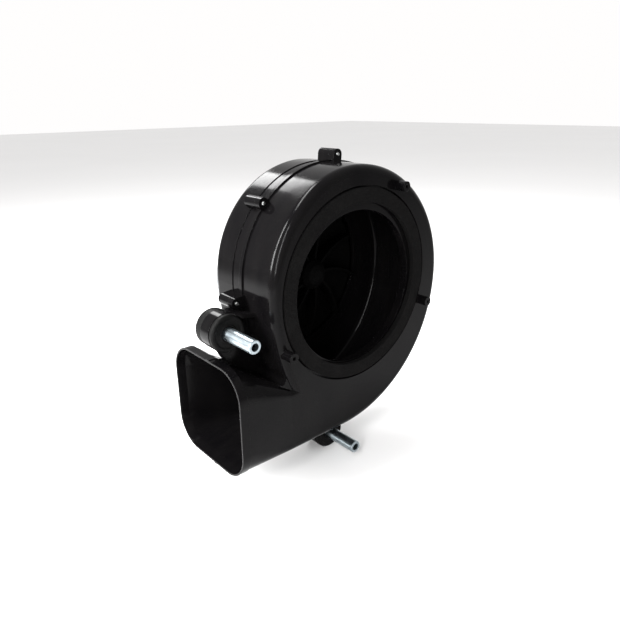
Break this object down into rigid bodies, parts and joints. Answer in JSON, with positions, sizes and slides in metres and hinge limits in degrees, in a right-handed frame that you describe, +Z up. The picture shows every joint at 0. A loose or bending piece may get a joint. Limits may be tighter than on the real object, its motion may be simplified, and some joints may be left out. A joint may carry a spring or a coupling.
{
  "type": "combustion fan",
  "caption": "Black plastic scroll blower with a foam-sealed round inlet, a flared rounded-square outlet, rubber-mounted bushes, a paddle wheel and a brushed motor.",
  "frame": {"origin": "on the fan axis, at the front edge of the inlet bore", "axes": "+Y back along the fan axis into the fan, +X right seen from the inlet, +Z up"},
  "size_m": [0.1997, 0.1449, 0.2263],
  "materials": {
    "housing_front": "glossy moulded black",
    "housing_rear": "glossy moulded black",
    "foam": "closed-cell foam, matte",
    "grommet_rubber": "matte rubber",
    "zinc_steel": "zinc plated",
    "screw_steel": "zinc plated",
    "gasket": "matte sheet rubber",
    "plate_steel": "galvanised sheet",
    "can_steel": "plated drawn steel",
    "sintered_bronze": "sintered bronze",
    "ferrite": "ground ferrite",
    "card_board": "phenolic board",
    "brass_sheet": "brass sheet",
    "carbon": "carbon graphite",
    "spring_steel": "spring wire",
    "cap_plastic": "matte moulded black",
    "shaft_steel": "ground steel",
    "lamination": "stacked laminations",
    "copper": "enamelled copper wire",
    "sleeve_resin": "phenolic resin",
    "wheel_plastic": "matte filled plastic"
  },
  "bodies": {
    "housing": {"front_shell": "housing_front", "rear_shell": "housing_rear", "inlet_foam_seal": "foam", "left_grommet": "grommet_rubber", "bottom_grommet": "grommet_rubber", "left_bush": "zinc_steel", "bottom_bush": "zinc_steel", "seam_screws": "screw_steel", "motor_gasket": "gasket", "motor_plate": "plate_steel", "motor_plate_screws": "screw_steel", "motor_mounting_screws": "screw_steel", "motor_can": "can_steel", "front_bearing": "sintered_bronze", "rear_bearing": "sintered_bronze", "field_magnets": "ferrite", "brush_card": "card_board", "brush_holders": "brass_sheet", "carbon_brushes": "carbon", "brush_springs": "spring_steel", "terminal_blades": "brass_sheet", "motor_end_cap": "cap_plastic"},
    "rotor": {"motor_shaft": "shaft_steel", "armature_core": "lamination", "armature_windings": "copper", "commutator_sleeve": "sleeve_resin", "commutator_bars": "copper", "thrust_washers": "shaft_steel", "impeller": "wheel_plastic", "impeller_hub_insert": "brass_sheet"}
  },
  "joints": [
    {"name": "impeller_spin", "type": "hinge", "parent": "housing", "child": "rotor", "pos_m": [0, 0, 0], "axis": [0, 1, 0], "continuous": true}
  ]
}
